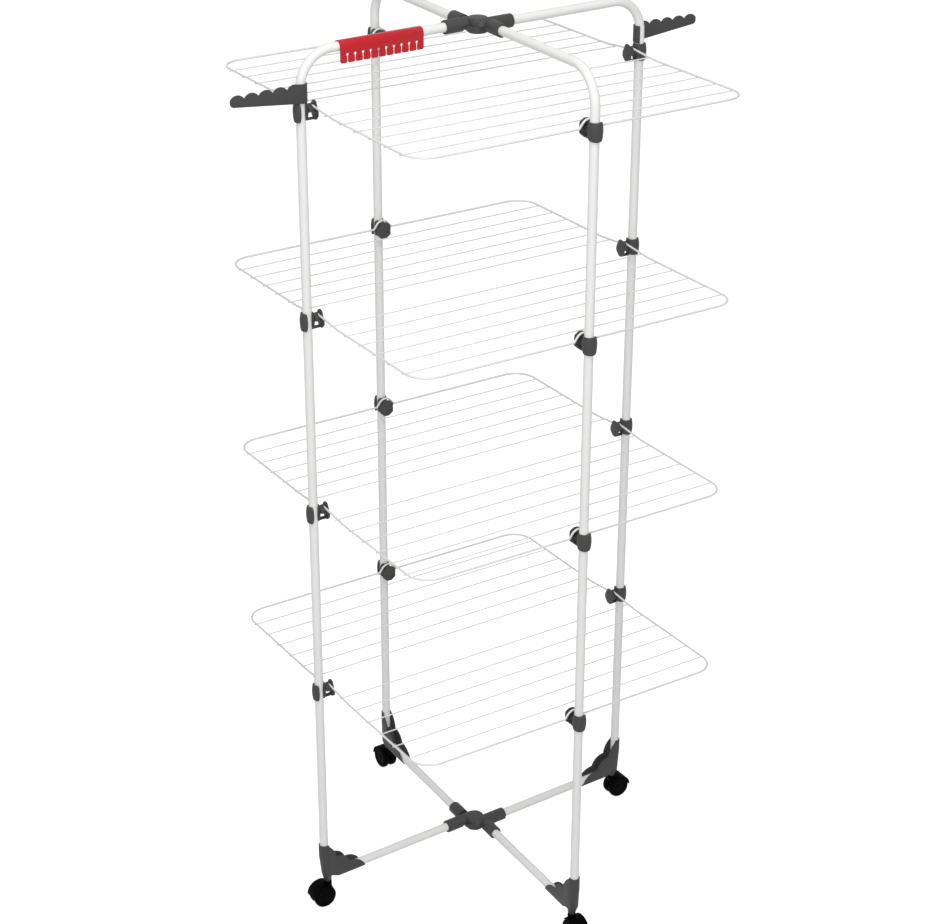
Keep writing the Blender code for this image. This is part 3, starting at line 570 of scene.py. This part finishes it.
def moulded(name, solid, steps, material, edge=0.0004, angle=35.0):
    """A moulding: Boolean steps on a solid, its edges then eased as a mould leaves them."""
    body = bpy.data.objects.new(name, smooth_mesh(name, solid, material))
    bpy.context.collection.objects.link(body)
    tools = []
    for operation, other in steps:
        tool = bpy.data.objects.new(name + "_tool", smooth_mesh(name + "_tool", other, material))
        bpy.context.collection.objects.link(tool)
        tools.append(tool)
        step = body.modifiers.new(operation.lower(), "BOOLEAN")
        step.operation = operation
        step.solver = "EXACT"
        step.object = tool
    body.modifiers.new("weld", "WELD").merge_threshold = WELD_REACH
    if edge:
        ease = body.modifiers.new("ease", "BEVEL")
        ease.width = edge
        ease.segments = 2
        ease.limit_method = "ANGLE"
        ease.angle_limit = math.radians(EASED_ANGLE)
        ease.use_clamp_overlap = True
    graph = bpy.context.evaluated_depsgraph_get()
    mesh = bpy.data.meshes.new_from_object(body.evaluated_get(graph))
    for spare in (body, *tools):
        bpy.data.objects.remove(spare)
    mesh.name = name
    mesh.shade_smooth()
    mesh.set_sharp_from_angle(angle=math.radians(angle))
    mesh.materials.clear()
    mesh.materials.append(material)
    return mesh


ACROSS = Matrix.Rotation(math.pi / 2, 4, "X")
ALONG = Matrix.Rotation(math.pi / 2, 4, "Z") @ ACROSS


def hub_half(height, pivot_end):
    """Half of a hub: a crowned disc between two sockets that are round past their roots, on a pivot."""
    disc = [ring(HUB_RADIUS, HUB_SEAM, WIDE_SIDES)]
    disc += [ring(HUB_RADIUS - inward, height - down, WIDE_SIDES) for inward, down in HUB_CROWN]
    mouth = BAR_RUN - SOCKET_MOUTH
    profile = [(mouth + along, SOCKET_RADIUS - inward) for along, inward in SOCKET_LIP]
    profile += arc(BAR_RUN, 0, SOCKET_RADIUS, 90, 6, 9)
    socket = skin([
        [Vector((x, y, z)) for y, z, _ in ring(radius, 0, BORE_SIDES, 1 / 2)]
        for x, radius in profile
    ])
    bore_path = [(BAR_RUN - SOCKET_START, 0, 0), (mouth - OVERRUN, 0, 0)]
    bore = rod(bore_path, BORE_RADIUS, BORE_SIDES, (0, 1, 0))
    steps = []
    bores = []
    for half_turn in (0, math.pi):
        outward = Matrix.Rotation(half_turn, 4, "Z") @ bar_frame(-1)
        steps.append(("UNION", moved(socket, outward)))
        bores.append(("DIFFERENCE", moved(bore, outward)))
    half = SOCKET_ROOT
    reach = SOCKET_MOUTH + 2 * OVERRUN
    room = [(half, -reach), (half, reach), (-half, reach), (-half, -reach)]
    below = prism(room, -SIDE_CUT, HUB_SEAM)
    steps.append(("DIFFERENCE", below))
    if pivot_end < 0:
        pin = [ring(PIVOT_RADIUS, z, SMALL_SIDES) for z in (pivot_end, height - 2 * OVERRUN)]
        steps.append(("UNION", skin(pin)))
    else:
        hole = [ring(PIVOT_RADIUS + FIT, z, SMALL_SIDES) for z in (0, pivot_end)]
        steps.append(("DIFFERENCE", skin(hole)))
    return moulded("hub_half", skin(disc), steps + bores, GREY_MOULDING, 0.0005)


def neck_hood(start, end, near, far):
    """A curved hood about the neck over the end of a wing's wire."""
    outline = arc(0, 0, HOOD_RADII[1], start, end, 14) + arc(0, 0, HOOD_RADII[0], end, start, 14)
    return skin([[Vector((-x, y, NECK_RISE + z)) for y, z in outline] for x in (near, far)])


def clip():
    """A clip: an open snap barrel, swelling at its middle, with neck, hoods and head."""
    loops = []
    for radius, z, slant, spread in BARREL_RINGS:
        start = BARREL_OPENING[1] + spread
        end = BARREL_OPENING[0] + 360 - spread
        outside = arc(BARREL_OFFSET[0], BARREL_OFFSET[1], radius, start, end, 40)
        outline = outside + arc(0, 0, BORE_RADIUS, end, start, 40)
        loops.append([Vector((x, y, z - slant * x / radius)) for x, y in outline])
    neck_path = [(-NECK_ROOT, 0, NECK_RISE), (-HEAD_PLACE, 0, NECK_RISE)]
    neck = rod(neck_path, NECK_RADIUS, 28, (0, 1, 0))
    corners = [
        (HEAD_HALF_HEIGHT * z, HEAD_HALF_WIDTH * y, HEAD_CORNER)
        for z, y in HEAD_CORNER_SHARES
    ]
    head = prism(rounded(corners, 5), -HEAD_THICKNESS / 2, HEAD_THICKNESS / 2)
    turn = Matrix.Rotation(math.radians(-HEAD_TURN), 4, "Z")
    stood_up = Matrix.Rotation(-math.pi / 2, 4, "Y")
    upright = turn @ Matrix.Translation((0, HEAD_SIDE_SHIFT, 0)) @ stood_up
    place = Matrix.Translation((-HEAD_PLACE, 0, -HEAD_DROP)) @ upright
    recess_outline = arc(*RECESS_PLACE, RECESS_RADIUS, 0, 345, 23)
    recess = moved(prism(recess_outline, RECESS_FLOOR, HEAD_THICKNESS), place)
    half = BRIDGE_HALF_WIDTH
    plan = [(-NECK_ROOT, half), (-HEAD_PLACE, half), (-HEAD_PLACE, -half), (-NECK_ROOT, -half)]
    bridge = prism(plan, *BRIDGE_HEIGHTS)
    steps = [
        ("UNION", neck),
        ("UNION", moved(head, place)),
        ("UNION", bridge),
        ("UNION", neck_hood(*NEAR_HOOD, NECK_ROOT, LANE_SEAM - FIT / 2)),
        ("UNION", neck_hood(*FAR_HOOD, LANE_SEAM + FIT / 2, HEAD_PLACE)),
        ("DIFFERENCE", recess),
    ]
    return moulded("snap_clip", skin(loops), steps, GREY_MOULDING, 0.0004, 40)


def foot(side):
    """A foot: a lobed channel with a round underside, a tapered back and the socket of its caster."""
    top = FOOT_TOP + 2 * OVERRUN
    section = arc(0, 0, CHANNEL_HALF, 180, 360, 18) + [(CHANNEL_HALF, top), (-CHANNEL_HALF, top)]
    cheeks = moved(prism(section, 0, FOOT_CUT), ALONG)
    outline = []
    for start, end, rise in LOBES:
        outline += lobe(start, end, rise, 12)[:-1]
    outline += [LOBES[-1][1], *BELLY]
    side_view = moved(prism(outline[::-1], -top, top), ACROSS)
    sleeve = skin([
        [
            Vector((inset + x * (back / half if x < 0 else 1), y, z))
            for x, y, z in ring(half, height, 36, 1 / 2)
        ]
        for half, back, inset, height in SLEEVE
    ])
    post_bore = skin([ring(BORE_RADIUS, z, BORE_SIDES, 1 / 2) for z in (POST_SINK, top)])
    well = [
        (WELL_START, POST_SINK + WELL_EDGE), (BORE_RADIUS, POST_SINK - WELL_FALL), (BAR_SEAT, 0),
        (FOOT_CUT, 0), (FOOT_CUT, top), (WELL_START, top),
    ]
    channel = moved(prism(well, -BORE_RADIUS, BORE_RADIUS), ACROSS)
    bar_path = [(BAR_SEAT, 0, 0), (FOOT_CUT + OVERRUN, 0, 0)]
    bar_bore = rod(bar_path, BORE_RADIUS, BORE_SIDES, (0, 1, 0))
    stem_bore = skin([
        [point + Vector((STEM_INSET, 0, 0)) for point in ring(STEM_BORE, z, 24)]
        for z in (FOOT_BOTTOM - OVERRUN, FOOT_BOTTOM + STEM_REACH)
    ])
    steps = [
        ("INTERSECT", side_view), ("UNION", sleeve), ("DIFFERENCE", post_bore),
        ("DIFFERENCE", channel), ("DIFFERENCE", bar_bore), ("DIFFERENCE", stem_bore),
    ]
    mesh = moulded(f"lobed_foot_{side}", cheeks, steps, GREY_MOULDING, 0.0003)
    mesh.transform(bar_frame(side, BASE_BAR_HEIGHT))
    return mesh


def caster_hood():
    """A caster's hood over the back of its wheels, with web, boss and stem."""
    place = Matrix.Translation((TRAIL, 0, WHEEL_RADIUS)) @ ACROSS
    back, front = HOOD_ARC
    shell = arc(0, 0, HOOD_OUTER, back, front, 22) + arc(0, 0, HOOD_INNER, front, back, 22)
    middle = (HOOD_INNER + HOOD_OUTER) / 2
    web = arc(0, 0, middle, back, front, 22) + arc(0, 0, WEB_EYE, front, 360 + back, 22)
    hood = moved(prism(shell, -HOOD_HALF_WIDTH, HOOD_HALF_WIDTH), place)
    boss = skin([ring(radius, z, SMALL_SIDES, 1 / 2) for radius, z in BOSS])
    hollow = moved(skin([ring(HOOD_INNER, y, WIDE_SIDES) for y in (-HOOD_CUT, HOOD_CUT)]), place)
    pin_ends = (SEAT_HEIGHT - STEM_ROOT, SEAT_HEIGHT + STEM_REACH)
    pin = skin([ring(STEM_RADIUS, z, 24, 1 / 2) for z in pin_ends])
    hole = moved(skin([ring(AXLE_BORE, y, 24) for y in (-HOOD_CUT, HOOD_CUT)]), place)
    steps = [
        ("UNION", boss),
        ("DIFFERENCE", hollow),
        ("UNION", moved(prism(web, -WEB_HALF, WEB_HALF), place)),
        ("UNION", pin),
        ("DIFFERENCE", hole),
    ]
    return moulded("caster_hood", hood, steps, BLACK_MOULDING, 0.0004)


def caster_wheel():
    """A caster wheel with a crowned tread and a dished face."""
    loops = [ring(radius, z, WIDE_SIDES, 1 / 2) for radius, z in WHEEL_SECTION]
    wheel = moved(skin(loops), Matrix.Rotation(-math.pi / 2, 4, "X"))
    return smooth_mesh("caster_wheel", wheel, BLACK_MOULDING)


def hanger_arm():
    """A hanger arm: a scalloped plate beside the post that wraps round its inner side."""
    past = ARM_REACH + OVERRUN
    plan = [(past, ARM_NEAR), (past, ARM_FAR)]
    plan += arc(0, 0, ARM_FAR, 90, ARM_WRAP_END, 30) + arc(0, 0, ARM_NEAR, ARM_WRAP_END, 90, 30)
    radius = (SCALLOP_PITCH ** 2 / 4 + SCALLOP_RISE ** 2) / (2 * SCALLOP_RISE)
    half = math.degrees(math.asin(SCALLOP_PITCH / 2 / radius))
    tip = [(0, ARM_FOOT, 0), (ARM_REACH, ARM_TIP_BOTTOM, ARM_TIP_CORNER), (ARM_REACH, ARM_TOP, 0)]
    side = [*ARM_LOWER_EDGE, *rounded(tip, 5)[1:-1]]
    for k in range(SCALLOPS):
        x = ARM_REACH - SCALLOP_PITCH * (k + 1 / 2)
        crest = ARM_TOP - CREST_FALL * (SCALLOPS - 1 - k)
        last = 90 if k == SCALLOPS - 1 else 90 + half
        side += arc(x, crest - radius, radius, 90 - half, last, 12)[:-1]
    side += [(x, ARM_TOP), *ARM_UPPER_EDGE]
    view = moved(prism(side, -SIDE_CUT, SIDE_CUT), ACROSS)
    plate = prism(plan, *ARM_BLANK)
    return moulded("hanger_arm", plate, [("INTERSECT", view)], GREY_MOULDING, 0.0005)


def hook_rail():
    """The hook rail: a saddle over the bar, a flap with rounded teeth and a keyhole between each two."""
    length = RAIL_END - RAIL_START
    section = [(-RAIL_INNER, -RAIL_DROP - RAIL_SPARE)]
    section += arc(0, 0, RAIL_INNER, 180, -20, 28) + arc(0, 0, RAIL_OUTER, -20, 180, 28)
    section.append((-RAIL_OUTER, -RAIL_DROP - RAIL_SPARE))
    body = moved(prism(section[::-1], -2 * OVERRUN, length + 2 * OVERRUN), ALONG)
    outline = [
        (0, -RAIL_DROP, RAIL_CORNER), (length, -RAIL_DROP, RAIL_CORNER),
        (length, RAIL_CREST, RAIL_CREST_CORNER), (0, RAIL_CREST, RAIL_CREST_CORNER),
    ]
    flap = moved(prism(rounded(outline, 6), -SIDE_CUT, SIDE_CUT), ACROSS)
    pitch = (length - 2 * KEYHOLE_MARGIN) / (KEYHOLES - 1)
    slit = KEYHOLE_SLIT / 2
    lean = math.degrees(math.asin(slit / KEYHOLE_RADIUS))
    eye = KEYHOLE_RISE - RAIL_DROP
    holes = []
    mouth = -RAIL_DROP + TOOTH_CORNER
    below = -RAIL_DROP - 2 * OVERRUN
    for k in range(KEYHOLES):
        x = KEYHOLE_MARGIN + k * pitch
        left = x - slit - TOOTH_CORNER
        right = x + slit + TOOTH_CORNER
        shape = arc(x, eye, KEYHOLE_RADIUS, lean - 90, 270 - lean, 16)
        shape += arc(left, mouth, TOOTH_CORNER, 0, -90, 5)
        shape += [(left, below), (right, below)]
        shape += arc(right, mouth, TOOTH_CORNER, 270, 180, 5)
        holes.append(moved(prism(shape, *KEYHOLE_CUT), ACROSS))
    steps = [("INTERSECT", flap), ("DIFFERENCE", joined(*holes))]
    return moulded("hook_rail", body, steps, RED_MOULDING, 0.0004)


def dress_mouldings():
    """Eased mouldings in place of the plain ones."""
    upper = hub_half(HUB_TOP, FIT - HUB_UNDERSIDE)
    lower = hub_half(HUB_UNDERSIDE, HUB_UNDERSIDE + 0.001)
    flip = Matrix.Rotation(math.pi / 2, 4, "Z") @ Matrix.Rotation(math.pi, 4, "X")
    for place, height in (("top", TOP_BAR_HEIGHT), ("base", BASE_BAR_HEIGHT)):
        at = Matrix.Translation((0, 0, height))
        stand_for(f"{place}_hub_upper", upper, at, "hoop_one")
        stand_for(f"{place}_hub_lower", lower, at @ flip, "hoop_two")
    snap = clip()
    hood = caster_hood()
    wheel = caster_wheel()
    feet = {side: foot(side) for side in (-1, 1)}
    arm = hanger_arm()
    for quarter, (turn, side, body) in QUARTERS.items():
        stand_for(f"foot_{quarter}", feet[side], turned(turn), body)
        for number, height in enumerate(LEVEL_HEIGHTS, 1):
            place = turned(turn, HOOP_REACH, 0, height)
            stand_for(f"clip_{quarter}_{number}", snap, place, body)
        swivel = turned(turn) @ Matrix.Translation(bar_frame(side) @ Vector((STEM_INSET, 0, 0)))
        stand_for(f"caster_hood_{quarter}", hood, swivel, f"caster_{quarter}")
        for letter, way in (("a", 1), ("b", -1)):
            seat = swivel @ Matrix.Translation((TRAIL, way * WHEEL_OFFSET, WHEEL_RADIUS))
            facing = Matrix.Rotation(0 if way == 1 else math.pi, 4, "Z")
            name = f"caster_wheel_{quarter}_{letter}"
            stand_for(name, wheel, seat @ facing, f"wheel_{quarter}_{letter}")
        if side == -1:
            place = turned(turn, HOOP_REACH, 0, LEVEL_HEIGHTS[0])
            stand_for(f"hanger_arm_{quarter}", arm, place, f"arm_{quarter}")
    along_bar = turned(180) @ bar_frame(-1, TOP_BAR_HEIGHT) @ Matrix.Translation((RAIL_START, 0, 0))
    stand_for("hook_rail", hook_rail(), along_bar, "rail")


def coat_frame():
    """Steel for the axles, the only CAD nodes that stay in sight."""
    for name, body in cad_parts.items():
        if name.startswith("caster_axle"):
            for slot in body.material_slots:
                slot.material = STEEL


def light_pale_stage():
    """A pale floor that keeps the airer's shadow, a white surround and soft lamps."""
    bpy.ops.mesh.primitive_plane_add(size=60)
    floor = bpy.context.object
    floor.name = "studio_floor"
    material = bpy.data.materials.new("pale_studio_floor")
    material.use_nodes = True
    tree = material.node_tree
    shader = tree.nodes["Principled BSDF"]
    shader.inputs["Base Color"].default_value = linear(FLOOR_TONE)
    shader.inputs["Roughness"].default_value = 0.9
    path = node(tree, "LightPath")
    seen = node(tree, "Math", {"operation": "MAXIMUM"}, {
        0: path.outputs["Is Camera Ray"],
        1: path.outputs["Is Glossy Ray"],
    })
    shader.inputs["Emission Color"].default_value = (1, 1, 1, 1)
    lift = node(tree, "Math", {"operation": "MULTIPLY"}, {0: seen.outputs[0], 1: FLOOR_LIFT})
    tree.links.new(lift.outputs[0], shader.inputs["Emission Strength"])
    floor.data.materials.append(material)

    world = bpy.data.worlds.new("white_surround")
    bpy.context.scene.world = world
    world.use_nodes = True
    tree = world.node_tree
    path = node(tree, "LightPath")
    seen = node(tree, "Math", {"operation": "MAXIMUM"}, {
        0: path.outputs["Is Camera Ray"],
        1: path.outputs["Is Transmission Ray"],
    })
    seen = node(tree, "Math", {"operation": "MAXIMUM"}, {
        0: seen.outputs[0],
        1: path.outputs["Is Glossy Ray"],
    })
    level = node(tree, "MapRange", None, {
        "Value": seen.outputs[0],
        "To Min": SURROUND_LIGHT,
        "To Max": 1.0,
    })
    background = tree.nodes["Background"]
    background.inputs["Color"].default_value = (1, 1, 1, 1)
    tree.links.new(level.outputs["Result"], background.inputs["Strength"])

    for name, place, size, energy in LAMPS:
        lamp = bpy.data.lights.new(name, "AREA")
        lamp.shape = "DISK"
        lamp.size = size
        lamp.energy = energy
        stand = bpy.data.objects.new(name, lamp)
        bpy.context.collection.objects.link(stand)
        stand.location = place
        aim = LAMP_AIM - stand.location
        stand.rotation_euler = aim.to_track_quat("-Z", "Y").to_euler()


def place_camera():
    """The camera at the photograph's angle."""
    lens = bpy.data.cameras.new("studio_camera")
    lens.sensor_fit = "HORIZONTAL"
    lens.sensor_width = SENSOR_WIDTH
    lens.lens = CAMERA_FOCAL_PIXELS * SENSOR_WIDTH / PICTURE_WIDTH
    lens.shift_x = (PICTURE_WIDTH / 2 - CAMERA_CENTRE_PIXELS[0]) / PICTURE_WIDTH
    lens.shift_y = (CAMERA_CENTRE_PIXELS[1] - PICTURE_HEIGHT / 2) / PICTURE_WIDTH
    lens.clip_end = 100
    camera = bpy.data.objects.new("studio_camera", lens)
    bpy.context.collection.objects.link(camera)
    azimuth = math.radians(CAMERA_AZIMUTH)
    elevation = math.radians(CAMERA_ELEVATION)
    camera.location = CAMERA_PLACE
    camera.rotation_euler = (math.pi / 2 - elevation, 0, azimuth)
    bpy.context.scene.camera = camera


coat_frame()
dress_tubes()
dress_wings()
dress_mouldings()
light_pale_stage()
place_camera()
bpy.context.scene.view_settings.view_transform = "Standard"
